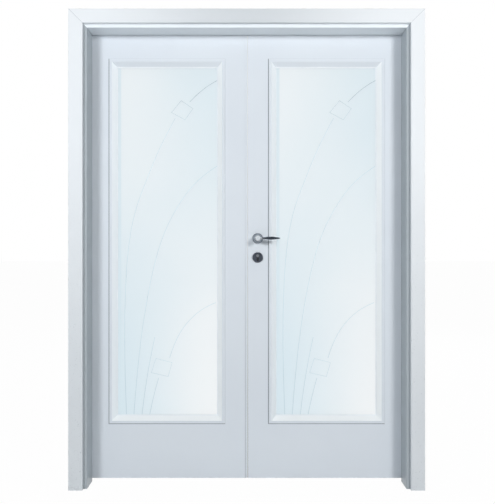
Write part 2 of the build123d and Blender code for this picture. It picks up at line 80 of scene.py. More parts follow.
def rangeNode(tree, value, fromLow, fromHigh, toLow, toHigh):
    node = addNode(tree, "ShaderNodeMapRange", interpolation_type="SMOOTHSTEP")
    tree.links.new(value, node.inputs["Value"])
    limits = {"From Min": fromLow, "From Max": fromHigh, "To Min": toLow, "To Max": toHigh}
    for name, limit in limits.items():
        setOrLink(tree, node.inputs[name], limit)
    return node.outputs["Result"]


def mixColour(tree, factor, first, second):
    node = addNode(tree, "ShaderNodeMix", data_type="RGBA")
    for index, value in zip((0, 6, 7), (factor, first, second)):  # the sockets of a colour mix
        setOrLink(tree, node.inputs[index], value)
    return node.outputs[2]


def objectCoords(tree):
    return addNode(tree, "ShaderNodeTexCoord").outputs["Object"]


def axesOf(tree, vector):
    split = addNode(tree, "ShaderNodeSeparateXYZ")
    tree.links.new(vector, split.inputs[0])
    return split.outputs


def newGroup(name, inputs, outputs):
    group = bpy.data.node_groups.new(name, "ShaderNodeTree")
    for socketName, kind, value in inputs:
        socket = group.interface.new_socket(name=socketName, in_out="INPUT", socket_type=kind)
        socket.default_value = value
    for socketName, kind in outputs:
        group.interface.new_socket(name=socketName, in_out="OUTPUT", socket_type=kind)
    return group, addNode(group, "NodeGroupInput", (-800, 0)), addNode(group, "NodeGroupOutput", (800, 0))


def placeGroup(tree, group, **values):
    node = addNode(tree, "ShaderNodeGroup", (-400, 0), node_tree=group)
    for name, value in values.items():
        node.inputs[name].default_value = value
    return node


def newMaterial(name, **constants):
    material = bpy.data.materials.new(name)
    material.use_nodes = True
    tree = material.node_tree
    shader = tree.nodes["Principled BSDF"]
    for key, value in constants.items():
        shader.inputs[key].default_value = value
    return material, tree, shader


def bumpInto(tree, shader, height, strength, distance):
    bump = addNode(tree, "ShaderNodeBump", (-200, -300))
    bump.inputs["Strength"].default_value = strength
    bump.inputs["Distance"].default_value = distance
    tree.links.new(height, bump.inputs["Height"])
    tree.links.new(bump.outputs["Normal"], shader.inputs["Normal"])


colourSocket = "NodeSocketColor"
floatSocket = "NodeSocketFloat"


# Sprayed lacquer: slow drifts of tone, a fine peel and a darker colour towards the floor, which is dust on
# the leaves and linings and a painted shade on the casings
lacquerGrain = {
    "clouds": 2.2,
    "cloudRange": (0.3, 0.72),
    "specks": 160.0,
    "speckRange": (0.62, 0.78),
    "speckShare": 0.35,
    "dustAndShadeShare": 0.35,
    "sheen": 35.0,
    "sheenSpread": 0.16,
    "peel": 420.0,
}


def makeLacquerGroup():
    group, given, out = newGroup(
        "sprayedLacquer",
        [
            ("Colour", colourSocket, (0.8, 0.8, 0.8, 1)),
            ("Drift", colourSocket, (0.7, 0.7, 0.7, 1)),
            ("DustAndShade", colourSocket, (0.6, 0.6, 0.6, 1)),
            ("Dust and shade height", floatSocket, 0.5),
            ("Roughness", floatSocket, 0.4),
        ],
        [("Colour", colourSocket), ("Roughness", floatSocket), ("Height", floatSocket)],
    )
    coords = objectCoords(group)
    drifts = noiseNode(group, coords, lacquerGrain["clouds"], 4.0)
    clouds = rangeNode(group, drifts, *lacquerGrain["cloudRange"], 0.0, 1.0)
    dots = noiseNode(group, coords, lacquerGrain["specks"], 2.0)
    specks = rangeNode(group, dots, *lacquerGrain["speckRange"], 0.0, lacquerGrain["speckShare"])
    low = rangeNode(group, axesOf(group, coords)["Z"], 0.0, given.outputs["Dust and shade height"], 1.0, 0.0)
    dustAndShadeMask = mathNode(group, "MULTIPLY", low, mathNode(group, "ADD", specks, lacquerGrain["dustAndShadeShare"]))
    base = mixColour(group, clouds, given.outputs["Colour"], given.outputs["Drift"])
    group.links.new(mixColour(group, dustAndShadeMask, base, given.outputs["DustAndShade"]), out.inputs["Colour"])
    spread = lacquerGrain["sheenSpread"]
    sheen = mathNode(group, "MULTIPLY", noiseNode(group, coords, lacquerGrain["sheen"]), spread)
    uneven = mathNode(group, "SUBTRACT", sheen, spread / 2)
    group.links.new(mathNode(group, "ADD", given.outputs["Roughness"], uneven), out.inputs["Roughness"])
    group.links.new(noiseNode(group, coords, lacquerGrain["peel"], 2.0), out.inputs["Height"])
    return group


# Metal drawn or polished along one direction: fine lines in roughness and height
metalGrain = {
    "lines": 900.0,
    "lineRoughness": 0.6,
    "smudge": 60.0,
    "hazeRange": (0.5, 0.75),
    "wornRange": (0.4, 0.8),
}


def makeBrushGroup():
    group, given, out = newGroup(
        "finishLines",
        [
            ("Colour", colourSocket, (0.6, 0.6, 0.6, 1)),
            ("Worn", colourSocket, (0.5, 0.5, 0.5, 1)),
            ("Roughness", floatSocket, 0.25),
            ("Spread", floatSocket, 0.1),
            ("Stretch", "NodeSocketVector", (1.0, 1.0, 1.0)),
        ],
        [("Colour", colourSocket), ("Roughness", floatSocket), ("Height", floatSocket)],
    )
    coords = objectCoords(group)
    stretched = addNode(group, "ShaderNodeVectorMath", operation="MULTIPLY")
    group.links.new(coords, stretched.inputs[0])
    group.links.new(given.outputs["Stretch"], stretched.inputs[1])
    lines = noiseNode(
        group, stretched.outputs[0], metalGrain["lines"], roughness=metalGrain["lineRoughness"],
    )
    smudge = noiseNode(group, coords, metalGrain["smudge"])
    spread = mathNode(group, "MULTIPLY", mathNode(group, "SUBTRACT", lines, 0.5), given.outputs["Spread"])
    dull = rangeNode(group, smudge, *metalGrain["hazeRange"], 0.0, 1.0)
    haze = mathNode(group, "MULTIPLY", dull, given.outputs["Spread"])
    uneven = mathNode(group, "ADD", spread, haze)
    rough = mathNode(group, "ADD", given.outputs["Roughness"], uneven, True)
    group.links.new(rough, out.inputs["Roughness"])
    tone = rangeNode(group, smudge, *metalGrain["wornRange"], 0.0, 1.0)
    colour = mixColour(group, tone, given.outputs["Colour"], given.outputs["Worn"])
    group.links.new(colour, out.inputs["Colour"])
    group.links.new(lines, out.inputs["Height"])
    return group


# Soft strips and moulded plastic: a dull, slightly blotched skin
skinGrain = {"blotch": 45.0, "blotchRange": (0.35, 0.7), "grain": 700.0, "roughSpread": 0.12}


def makeSkinGroup():
    group, given, out = newGroup(
        "mouldedSkin",
        [
            ("Colour", colourSocket, (0.5, 0.5, 0.5, 1)),
            ("Blotch", colourSocket, (0.4, 0.4, 0.4, 1)),
            ("Roughness", floatSocket, 0.6),
        ],
        [("Colour", colourSocket), ("Roughness", floatSocket), ("Height", floatSocket)],
    )
    coords = objectCoords(group)
    blots = noiseNode(group, coords, skinGrain["blotch"], 4.0)
    blotch = rangeNode(group, blots, *skinGrain["blotchRange"], 0.0, 1.0)
    grain = noiseNode(group, coords, skinGrain["grain"], 2.0)
    colour = mixColour(group, blotch, given.outputs["Colour"], given.outputs["Blotch"])
    group.links.new(colour, out.inputs["Colour"])
    uneven = mathNode(group, "MULTIPLY", grain, skinGrain["roughSpread"])
    group.links.new(mathNode(group, "ADD", given.outputs["Roughness"], uneven), out.inputs["Roughness"])
    group.links.new(grain, out.inputs["Height"])
    return group


lacquerGroup = makeLacquerGroup()
brushGroup = makeBrushGroup()
skinGroup = makeSkinGroup()


def groupMaterial(name, group, bump, groupValues, **constants):
    material, tree, shader = newMaterial(name, **constants)
    node = placeGroup(tree, group, **groupValues)
    tree.links.new(node.outputs["Colour"], shader.inputs["Base Color"])
    tree.links.new(node.outputs["Roughness"], shader.inputs["Roughness"])
    bumpInto(tree, shader, node.outputs["Height"], *bump)
    return material, tree, shader, node


# White lacquer on the lining, the casings and the leaves; on the jambs the lining is darkened, a painted
# shade of the reveals
lacquer = {
    "leaf": {
        "Colour": (0.73, 0.78, 0.83, 1),
        "Drift": (0.71, 0.76, 0.815, 1),
        "DustAndShade": (0.69, 0.74, 0.79, 1),
        "Dust and shade height": 0.20,
        "Roughness": 0.36,
    },
    "casing": {
        "Colour": (0.86, 0.895, 0.92, 1),
        "Drift": (0.84, 0.875, 0.905, 1),
        # On the casings the dust colour reaches nearly to the top: a painted shade, darker towards the
        # floor
        "DustAndShade": (0.44, 0.48, 0.51, 1),
        "Dust and shade height": 1.90,
        "Roughness": 0.34,
    },
    # A painted shade: the jamb linings are darker than the head lining and the casings
    "lining": {
        "Colour": (0.43, 0.475, 0.505, 1),
        "Drift": (0.415, 0.46, 0.49, 1),
        "DustAndShade": (0.39, 0.42, 0.45, 1),
        "Dust and shade height": 0.22,
        "Roughness": 0.40,
    },
    "headLining": {
        "Colour": (0.84, 0.885, 0.92, 1),
        "Drift": (0.82, 0.868, 0.905, 1),
        "DustAndShade": (0.66, 0.70, 0.74, 1),
        "Dust and shade height": 0.22,
        "Roughness": 0.34,
    },
    "peel": (0.12, 0.0002),
    "coat": 0.12,
    "coatRoughness": 0.18,
    "ior": 1.48,
}


def lacquerMaterial(name, values):
    coating = {
        "Coat Weight": lacquer["coat"],
        "Coat Roughness": lacquer["coatRoughness"],
        "IOR": lacquer["ior"],
    }
    return groupMaterial(name, lacquerGroup, lacquer["peel"], values, **coating)


# The mitre's hairline runs at 45 degrees from the corner given, on both sides of the door,
# and the casing's head carries a painted shade, greyer towards its middle
mitre = {
    "width": 0.0011,
    "core": 0.3,
    "strength": 0.85,
    "colour": (0.32, 0.36, 0.40, 1),
    "headShade": 0.46,
    "headReach": 0.9,
}


def mitredMaterial(name, values, corner):
    material, tree, shader, node = lacquerMaterial(name, values)
    axes = axesOf(tree, objectCoords(tree))
    sideways = mathNode(tree, "ABSOLUTE", axes["X"])
    outX = mathNode(tree, "SUBTRACT", sideways, corner.x)
    outZ = mathNode(tree, "SUBTRACT", axes["Z"], corner.z)
    away = mathNode(tree, "ABSOLUTE", mathNode(tree, "SUBTRACT", outX, outZ))
    line = rangeNode(tree, away, mitre["core"] * mitre["width"], mitre["width"], mitre["strength"], 0.0)
    # Painted shade on the head, greyest at its middle
    middle = rangeNode(tree, sideways, 0.0, mitre["headReach"] * corner.x, mitre["headShade"], 0.0)
    headShaded = mixColour(tree, middle, node.outputs["Colour"], values["DustAndShade"])
    tree.links.new(mixColour(tree, line, headShaded, mitre["colour"]), shader.inputs["Base Color"])
    return material


# Beads: the slope towards the glass is whiter than the flat lip, painted light that is least
# where it faces down and most where it faces up or to the left
beadPaintedLight = {
    "slopeLight": (0.91, 0.965, 1.0, 1),
    "litSlope": (0.945, 0.985, 1.0, 1),
    "sloped": 0.80,
    "flat": 0.93,
    "downward": -0.5,
    "downShare": 0.15,
    "turned": 0.4,
}


def beadMaterial(name):
    material, tree, shader, node = lacquerMaterial(name, lacquer["leaf"])
    axes = axesOf(tree, addNode(tree, "ShaderNodeTexCoord").outputs["Normal"])
    flatness = mathNode(tree, "ABSOLUTE", axes["Y"])
    sloped = rangeNode(tree, flatness, beadPaintedLight["sloped"], beadPaintedLight["flat"], 1.0, 0.0)
    # Painted light on the slopes, held back where they face down
    unlessShadedBelow = rangeNode(tree, axes["Z"], beadPaintedLight["downward"], 0.0, beadPaintedLight["downShare"], 1.0)
    slopeLight = mathNode(tree, "MULTIPLY", sloped, unlessShadedBelow)
    upward = rangeNode(tree, axes["Z"], 0.0, beadPaintedLight["turned"], 0.0, 1.0)
    leftward = rangeNode(tree, axes["X"], -beadPaintedLight["turned"], 0.0, 1.0, 0.0)
    lit = mathNode(tree, "MAXIMUM", upward, leftward)
    white = mixColour(tree, lit, beadPaintedLight["slopeLight"], beadPaintedLight["litSlope"])
    tree.links.new(mixColour(tree, slopeLight, node.outputs["Colour"], white), shader.inputs["Base Color"])
    return material


# Leaves: a fine dark seam shows where the beads' lips meet the leaf; on the left and below it is darker, a
# painted shadow of the lips
beadSeam = {"width": 0.0050, "core": 0.5, "deep": 0.96, "faint": 0.12, "colour": (0.22, 0.25, 0.28, 1)}

# Their meeting edges carry a painted shade of the gap between the leaves, deeper towards the floor,
# on the faces but not inside the gap. For each leaf: how wide and how strong
meetingShade = {
    "passive": (0.0032, 0.55),
    "active": (0.0014, 0.95),
    "core": 0.8,
    "height": 1.75,
    "skin": 0.0012,
}


def seamColour(tree, axes, stiles, base):
    low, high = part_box(stiles)
    deep = mathNode(
        tree, "MAXIMUM",
        mathNode(tree, "SUBTRACT", low.x, axes["X"]),
        mathNode(tree, "SUBTRACT", low.z, axes["Z"]),
    )
    faint = mathNode(
        tree, "MAXIMUM",
        mathNode(tree, "SUBTRACT", axes["X"], high.x),
        mathNode(tree, "SUBTRACT", axes["Z"], high.z),
    )
    width = beadSeam["width"]
    away = mathNode(tree, "MAXIMUM", deep, faint)
    line = rangeNode(tree, away, beadSeam["core"] * width, width, 1.0, 0.0)
    # The left and lower sides are darker: a painted shadow of the lips
    deeper = mathNode(tree, "GREATER_THAN", deep, faint)
    strength = rangeNode(tree, deeper, 0.0, 1.0, beadSeam["faint"], beadSeam["deep"])
    return mixColour(tree, mathNode(tree, "MULTIPLY", line, strength), base, beadSeam["colour"])


def leafMaterial(leaf, inward):
    material, tree, shader, node = lacquerMaterial(leaf + "PanelLacquer", lacquer["leaf"])
    axes = axesOf(tree, objectCoords(tree))
    seamed = seamColour(tree, axes, leaf + "_front_bead_stiles", node.outputs["Colour"])
    width, strength = meetingShade[leaf]
    low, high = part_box(leaf + "_panel")
    edge = low.x if inward > 0 else high.x
    within = mathNode(tree, "MULTIPLY", mathNode(tree, "SUBTRACT", axes["X"], edge), inward)
    line = rangeNode(tree, within, meetingShade["core"] * width, width, 1.0, 0.0)
    depth = mathNode(tree, "ABSOLUTE", mathNode(tree, "SUBTRACT", axes["Y"], (low.y + high.y) / 2))
    onFace = mathNode(tree, "GREATER_THAN", depth, (high.y - low.y) / 2 - meetingShade["skin"])
    # Painted shade beside the gap, deeper towards the floor
    lower = rangeNode(tree, axes["Z"], 0.0, meetingShade["height"], strength, 0.0)
    gapShade = mathNode(tree, "MULTIPLY", mathNode(tree, "MULTIPLY", line, onFace), lower)
    tree.links.new(mixColour(tree, gapShade, seamed, beadSeam["colour"]), shader.inputs["Base Color"])
    return material


leafLacquer = lacquerMaterial("leafLacquer", lacquer["leaf"])[0]
activeLacquer = leafMaterial("active", 1)
passiveLacquer = leafMaterial("passive", -1)
beadLacquer = beadMaterial("beadLacquer")
liningLacquer = lacquerMaterial("liningLacquer", lacquer["lining"])[0]
headLacquer = lacquerMaterial("headLacquer", lacquer["headLining"])[0]
frontLow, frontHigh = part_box("front_casing_right")
rearLow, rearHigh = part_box("rear_casing_right")
frontCasingLacquer = mitredMaterial("frontCasingLacquer", lacquer["casing"], frontHigh)
rearCasingLacquer = mitredMaterial("rearCasingLacquer", lacquer["casing"], rearHigh)

# Satin etched glass with painted light and shade: bluer at the lower left and less so at the upper right,
# and a painted shade along the left margin
satinGlass = {
    "clear": (0.96, 0.988, 1.0, 1),
    "shade": (0.74, 0.865, 0.93, 1),
    "topShare": -0.54,
    "cloudScale": 3.0,
    "cloud": 0.25,
    "marginShadow": (0.0335, 0.0360),
    "marginShare": 0.25,
    "roughness": 0.42,
    "roughSpread": 0.14,
    "grainScale": 900.0,
    "grainBump": (0.15, 0.0002),
    "ior": 1.45,
}


def glassMaterial(name, node):
    low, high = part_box(node)
    material, tree, shader = newMaterial(name, **{"Transmission Weight": 1.0, "IOR": satinGlass["ior"]})
    coords = objectCoords(tree)
    axes = axesOf(tree, coords)
    # Painted light and shade across the pane
    across = rangeNode(tree, axes["X"], low.x, high.x, -0.5, 0.5)
    down = rangeNode(tree, axes["Z"], high.z, low.z, satinGlass["topShare"], 1.0)
    lightSweep = mathNode(tree, "ADD", mathNode(tree, "MULTIPLY", across, down), 0.5)
    drift = mathNode(tree, "SUBTRACT", noiseNode(tree, coords, satinGlass["cloudScale"]), 0.5)
    clouded = mathNode(tree, "ADD", lightSweep, mathNode(tree, "MULTIPLY", drift, satinGlass["cloud"]), True)
    start, end = satinGlass["marginShadow"]
    # A painted shade along the left margin
    inside = rangeNode(tree, axes["X"], low.x + start, low.x + end, satinGlass["marginShare"], 1.0)
    bright = mathNode(tree, "MULTIPLY", clouded, inside)
    colour = mixColour(tree, bright, satinGlass["shade"], satinGlass["clear"])
    tree.links.new(colour, shader.inputs["Base Color"])
    grain = noiseNode(tree, coords, satinGlass["grainScale"], 2.0)
    uneven = mathNode(tree, "MULTIPLY", grain, satinGlass["roughSpread"])
    tree.links.new(mathNode(tree, "ADD", uneven, satinGlass["roughness"]), shader.inputs["Roughness"])
    bumpInto(tree, shader, grain, *satinGlass["grainBump"])
    return material


activeGlassMaterial = glassMaterial("activeGlassSatin", "active_glass")
passiveGlassMaterial = glassMaterial("passiveGlassSatin", "passive_glass")

# Plated and bare metals: colour, worn colour, roughness, spread of the lines and their stretch
metals = {
    "brightChrome": ((0.95, 0.97, 0.98, 1), (0.90, 0.92, 0.94, 1), 0.09, 0.05, (1.0, 1.0, 1.0)),
    "polishedChrome": ((0.42, 0.46, 0.50, 1), (0.38, 0.42, 0.46, 1), 0.10, 0.05, (1.0, 1.0, 1.0)),
    "slateChrome": ((0.23, 0.245, 0.285, 1), (0.19, 0.205, 0.245, 1), 0.30, 0.10, (1.0, 1.0, 0.2)),
    "hingeSatin": ((0.56, 0.58, 0.60, 1), (0.50, 0.52, 0.54, 1), 0.30, 0.14, (1.0, 1.0, 0.06)),
    "lockSatin": ((0.52, 0.535, 0.55, 1), (0.46, 0.47, 0.49, 1), 0.33, 0.16, (1.0, 1.0, 0.05)),
    # The cylinder is painted near black, a painted shade of its keyway
    "keywayShadeNickel": ((0.13, 0.13, 0.14, 1), (0.11, 0.108, 0.11, 1), 0.27, 0.12, (0.2, 1.0, 1.0)),
    # The plug's face is lighter, a painted glint
    "plugGlintNickel": ((0.58, 0.59, 0.61, 1), (0.50, 0.51, 0.53, 1), 0.22, 0.10, (0.2, 1.0, 1.0)),
}
metalBump = (0.05, 0.0001)


def metalMaterial(name):
    values = dict(zip(("Colour", "Worn", "Roughness", "Spread", "Stretch"), metals[name]))
    return groupMaterial(name, brushGroup, metalBump, values, Metallic=1.0)


# The lever's hub is bright, its blade darker from the thin neck outwards, a painted reflection of dark
# surroundings
bladeReflection = {"start": 0.064, "end": 0.074, "colour": (0.20, 0.225, 0.26, 1)}


def leverMaterial(name):
    material, tree, shader, node = metalMaterial(name)
    outwards = axesOf(tree, objectCoords(tree))["X"]
    along = rangeNode(tree, outwards, bladeReflection["start"], bladeReflection["end"], 0.0, 1.0)
    colour = mixColour(tree, along, node.outputs["Colour"], bladeReflection["colour"])
    tree.links.new(colour, shader.inputs["Base Color"])
    return material


chrome = metalMaterial("polishedChrome")[0]
brightChrome = leverMaterial("brightChrome")
slateChrome = metalMaterial("slateChrome")[0]
hingeSatin = metalMaterial("hingeSatin")[0]
lockSatin = metalMaterial("lockSatin")[0]
keywayShadeNickel = metalMaterial("keywayShadeNickel")[0]
plugGlintNickel = metalMaterial("plugGlintNickel")[0]

# Seals, tapes, plastics and the painted shade of screw recesses: colour, blotch and roughness
softs = {
    "paleSeal": ((0.82, 0.85, 0.88, 1), (0.77, 0.81, 0.84, 1), 0.55),
    "shadedSeal": ((0.82, 0.85, 0.88, 1), (0.77, 0.81, 0.84, 1), 0.55),
    "foamTape": ((0.66, 0.69, 0.71, 1), (0.58, 0.61, 0.63, 1), 0.75),
    "blockPlastic": ((0.10, 0.105, 0.11, 1), (0.08, 0.083, 0.087, 1), 0.5),
    "whiteSealant": ((0.93, 0.97, 1.0, 1), (0.90, 0.945, 0.98, 1), 0.38),
    "screwRecessShade": ((0.06, 0.063, 0.068, 1), (0.045, 0.047, 0.05, 1), 0.5),
}
softBump = (0.2, 0.0002)


def softMaterial(name):
    values = dict(zip(("Colour", "Blotch", "Roughness"), softs[name]))
    return groupMaterial(name, skinGroup, softBump, values)


# The seal between the leaves is greyer towards the floor, a painted shade of the gap
meetingSeal = {"low": (0.24, 0.26, 0.28, 1), "height": 1.9}


def meetingSealMaterial(name):
    material, tree, shader, node = softMaterial(name)
    height = axesOf(tree, objectCoords(tree))["Z"]
    low = rangeNode(tree, height, 0.0, meetingSeal["height"], 1.0, 0.0)
    colour = mixColour(tree, low, node.outputs["Colour"], meetingSeal["low"])
    tree.links.new(colour, shader.inputs["Base Color"])
    return material


paleSeal = softMaterial("paleSeal")[0]
shadedSeal = meetingSealMaterial("shadedSeal")
foamTape = softMaterial("foamTape")[0]
blockPlastic = softMaterial("blockPlastic")[0]
whiteSealant = softMaterial("whiteSealant")[0]
print("materials made")

# Every node takes its own finish, or that of its kind, or else that of its slot
finishOfNode = {
    "active_glass": activeGlassMaterial,
    "passive_glass": passiveGlassMaterial,
    "active_panel": activeLacquer,
    "passive_panel": passiveLacquer,
    "head_lining": headLacquer,
    "cylinder_plug": plugGlintNickel,
    "meeting_seal": shadedSeal,
}
finishOfKind = {
    "front_casing_": frontCasingLacquer,
    "rear_casing_": rearCasingLacquer,
    "jamb_": liningLacquer,
    "_bead_": beadLacquer,
    "_lever": brightChrome,
    "_escutcheon": slateChrome,
}
finishOfSlot = {
    "white_lacquer": leafLacquer,
    "glazing_tape": foamTape,
    "setting_block": blockPlastic,
    "white_seal": paleSeal,
    "hinge_steel": hingeSatin,
    "polished_chrome": chrome,
    "nickelled_brass": keywayShadeNickel,
    "lock_steel": lockSatin,
}


def finishOf(name, slot):
    if name in finishOfNode:
        return finishOfNode[name]
    for kind, finish in finishOfKind.items():
        if kind in name:
            return finish
    return finishOfSlot[slot]


for row in frame["record"]["subparts"]:
    piece = nodes[row["node"]]
    piece.data.materials.clear()
    piece.data.materials.append(finishOf(row["node"], row["material_slot"]))
print("finishes placed")


# Pieces of the scene's own

def pieceFromBmesh(name, bm, materials, body):
    mesh = bpy.data.meshes.new(name)
    bm.to_mesh(mesh)
    bm.free()
    for material in materials:
        mesh.materials.append(material)
    piece = bpy.data.objects.new(name, mesh)
    bpy.context.scene.collection.objects.link(piece)
    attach(piece, body)


# A white fillet of sealant runs round each pane, from the beads' feet on to the glass
fillet = {"beadWidth": 0.030, "front": (0.0055, 0.0034), "rear": (0.0045, 0.0034), "bite": 0.0002}


def filletRing(bm, corners, glassFace, outwards, size):
    across, lift = size
    seated = glassFace + outwards * fillet["bite"]
    sheet = bm.faces.new([bm.verts.new((x, seated, z)) for x, z in corners])
    sheet.normal_update()
    ring = bmesh.ops.inset_region(
        bm, faces=[sheet], thickness=across, use_boundary=True, use_even_offset=True,
    )["faces"]
    inner = list(sheet.edges)
    bmesh.ops.delete(bm, geom=[sheet], context="FACES_ONLY")
    rim = [edge for flat in ring for edge in flat.edges if edge.is_boundary and edge not in inner]
    wall = bmesh.ops.extrude_edge_only(bm, edges=rim)["geom"]
    raised = [item for item in wall if isinstance(item, bmesh.types.BMVert)]
    bmesh.ops.translate(bm, verts=raised, vec=(0, outwards * lift, 0))
    crest = [edge for edge in bm.edges if edge.verts[0] in raised and edge.verts[1] in raised]
    bmesh.ops.bridge_loops(bm, edges=inner + crest)


def glazingFillet(leaf):
    low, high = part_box(leaf + "_front_bead_stiles")
    glassLow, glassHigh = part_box(leaf + "_glass")
    foot = fillet["beadWidth"] - fillet["bite"]
    left, right = low.x + foot, high.x - foot
    bottom, top = low.z + foot, high.z - foot
    corners = [(left, bottom), (right, bottom), (right, top), (left, top)]
    bm = bmesh.new()
    filletRing(bm, corners, glassLow.y, -1, fillet["front"])
    filletRing(bm, corners, glassHigh.y, 1, fillet["rear"])
    bmesh.ops.recalc_face_normals(bm, faces=bm.faces)
    pieceFromBmesh(leaf + "_glazing_fillet", bm, [whiteSealant], leaf + "_leaf")


for leaf in ("active", "passive"):
    glazingFillet(leaf)
print("sealant run round both panes")


# Line ornament on the glass: stems that rise and lean to the right, and two lozenges.
# Places are shares of the visible pane, from its lower left corner. The lines are
# strongest near the top and faintest in the middle
ornament = {
    "lineWidth": 0.0026,
    "relief": 0.00012,
    "curveSteps": 10,
    "faint": (0.71, 0.825, 0.88, 1),
    "blotch": (0.74, 0.85, 0.90, 1),
    "strong": (0.48, 0.555, 0.60, 1),
    "roughness": 0.5,
    "bump": (0.1, 0.0001),
    "lowFade": (0.30, 0.75),
    "lowShare": 0.30,
    "highFade": (1.60, 1.76),
    "sight": 0.015,
    "stems": [
        [(0.095, 0.0), (0.070, 0.18), (0.080, 0.37), (0.115, 0.50), (0.185, 0.60), (0.315, 0.69),
         (0.41, 0.765), (0.575, 0.853)],
        [(0.718, 0.900), (0.86, 0.944), (1.0, 0.963)],
        [(0.167, 0.0), (0.21, 0.17), (0.29, 0.335), (0.425, 0.51), (0.63, 0.62), (0.80, 0.682),
         (1.0, 0.718)],
        [(0.247, 0.0), (0.272, 0.07), (0.32, 0.155), (0.375, 0.225)],
        [(0.322, 0.0), (0.362, 0.06), (0.412, 0.108)],
        [(0.52, 0.165), (0.58, 0.222), (0.70, 0.275), (0.85, 0.31), (0.975, 0.324)],
    ],
    "lozenges": [
        [(0.634, 0.904), (0.751, 0.881), (0.672, 0.849), (0.538, 0.870)],
        [(0.385, 0.164), (0.545, 0.152), (0.505, 0.112), (0.340, 0.123)],
    ],
}


def ornamentMaterial():
    values = {"Colour": ornament["faint"], "Blotch": ornament["blotch"], "Roughness": ornament["roughness"]}
    material, tree, shader, node = groupMaterial("etchedLine", skinGroup, ornament["bump"], values)
    height = axesOf(tree, objectCoords(tree))["Z"]
    low = rangeNode(tree, height, *ornament["lowFade"], ornament["lowShare"], 0.0)
    high = rangeNode(tree, height, *ornament["highFade"], 0.0, 1.0)
    strength = mathNode(tree, "MAXIMUM", low, high)
    colour = mixColour(tree, strength, node.outputs["Colour"], ornament["strong"])
    tree.links.new(colour, shader.inputs["Base Color"])
    return material


def ornamentCurve(points, closed, place):
    curve = bpy.data.curves.new("stem", "CURVE")
    curve.dimensions = "3D"
    curve.bevel_depth = ornament["lineWidth"] / 2
    curve.bevel_resolution = 1
    curve.resolution_u = ornament["curveSteps"]
    spline = curve.splines.new("POLY" if closed else "NURBS")
    spline.points.add(len(points) - 1)
    for point, share in zip(spline.points, points):
        x, z = place(share)
        point.co = (x, 0.0, z, 1.0)
    if closed:
        spline.use_cyclic_u = True
    else:
        spline.order_u = 4
        spline.use_endpoint_u = True
    return curve


def glassOrnament(leaf, material):
    low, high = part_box(leaf + "_glass")
    inset = ornament["sight"]
    width, height = high.x - low.x - 2 * inset, high.z - low.z - 2 * inset

    def place(share):
        return low.x + inset + share[0] * width, low.z + inset + share[1] * height

    strokes = [(points, False) for points in ornament["stems"]]
    strokes += [(points, True) for points in ornament["lozenges"]]
    bm = bmesh.new()
    for points, closed in strokes:
        holder = bpy.data.objects.new("stem", ornamentCurve(points, closed, place))
        bpy.context.scene.collection.objects.link(holder)
        bpy.context.view_layer.update()
        made = bpy.data.meshes.new_from_object(holder.evaluated_get(bpy.context.evaluated_depsgraph_get()))
        bm.from_mesh(made)
        curve = holder.data
        bpy.data.objects.remove(holder)
        bpy.data.curves.remove(curve)
        bpy.data.meshes.remove(made)
    flatten = Vector((1.0, 2 * ornament["relief"] / ornament["lineWidth"], 1.0))
    bmesh.ops.scale(bm, vec=flatten, verts=bm.verts[:])
    bmesh.ops.translate(bm, vec=(0, low.y, 0), verts=bm.verts[:])
    bmesh.ops.recalc_face_normals(bm, faces=bm.faces[:])
    pieceFromBmesh(leaf + "_glass_ornament", bm, [material], leaf + "_leaf")


lineMaterial = ornamentMaterial()
for leaf in ("active", "passive"):
    glassOrnament(leaf, lineMaterial)
print("ornament drawn on both panes")

# Countersunk screws in the hinge plates, the forend, the strike, the keep and the flush bolts
screw = {
    "radius": 0.0036,
    "small": 0.0028,
    "proud": 0.0003,
    "rim": 0.22,
    "crown": 0.9,
    "recess": 0.6,
    "recessWidth": 0.25,
    "steps": 20,
    "hingeHalf": 0.055,
    "hingeRows": ((-0.040, 0.041), (-0.013, 0.053), (0.013, 0.041), (0.040, 0.053)),
    "framePlate": 0.716,
    "leafPlate": 0.713,
    "endInset": 0.009,
    "keepInset": 0.0045,
}


# One head, its face towards +Z, with a crossed recess on it drawn as dark bars, a painted shade of the
# recess
def screwHead(bm, radius, matrix):
    disc = bmesh.ops.create_circle(bm, cap_ends=True, segments=screw["steps"], radius=radius)
    face = disc["verts"][0].link_faces[0]
    crown = screw["crown"] * screw["proud"]
    bmesh.ops.inset_region(bm, faces=[face], thickness=screw["rim"] * radius, depth=crown)
    verts = set(disc["verts"]) | set(face.verts)
    for turn in (0.0, math.pi / 2):
        bar = bmesh.ops.create_cube(bm, size=1.0)["verts"]
        size = (2 * screw["recess"] * radius, screw["recessWidth"] * radius, screw["proud"])
        bmesh.ops.scale(bm, vec=size, verts=bar)
        bmesh.ops.rotate(bm, cent=(0, 0, 0), matrix=Matrix.Rotation(turn, 3, "Z"), verts=bar)
        bmesh.ops.translate(bm, vec=(0, 0, screw["proud"] / 2), verts=bar)
        for side in {f for v in bar for f in v.link_faces}:
            side.material_index = 1
        verts.update(bar)
    bmesh.ops.transform(bm, matrix=matrix, verts=list(verts))


def facing(place, direction):
    return Matrix.Translation(place) @ Vector(direction).to_track_quat("Z", "Y").to_matrix().to_4x4()


def screwSet(name, body, materials, radius, places):
    bm = bmesh.new()
    for place, direction in places:
        screwHead(bm, radius, facing(Vector(place), direction))
    bmesh.ops.recalc_face_normals(bm, faces=bm.faces[:])
    pieceFromBmesh(name, bm, materials, body)


# Screws of three hinge plates on one upright face
def hingeScrews(x, direction):
    low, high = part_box("hinge_frame_halves_right")
    half = screw["hingeHalf"]
    levels = (low.z + half, (low.z + high.z) / 2, high.z - half)
    return [((x, y, level + rise), (direction, 0, 0)) for level in levels for rise, y in screw["hingeRows"]]


# Screws at both ends of an upright plate let into a leaf's meeting edge
def endScrews(node, x, direction):
    low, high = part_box(node)
    middle, inset = (low.y + high.y) / 2, screw["endInset"]
    return [((x, middle, z), (direction, 0, 0)) for z in (low.z + inset, high.z - inset)]


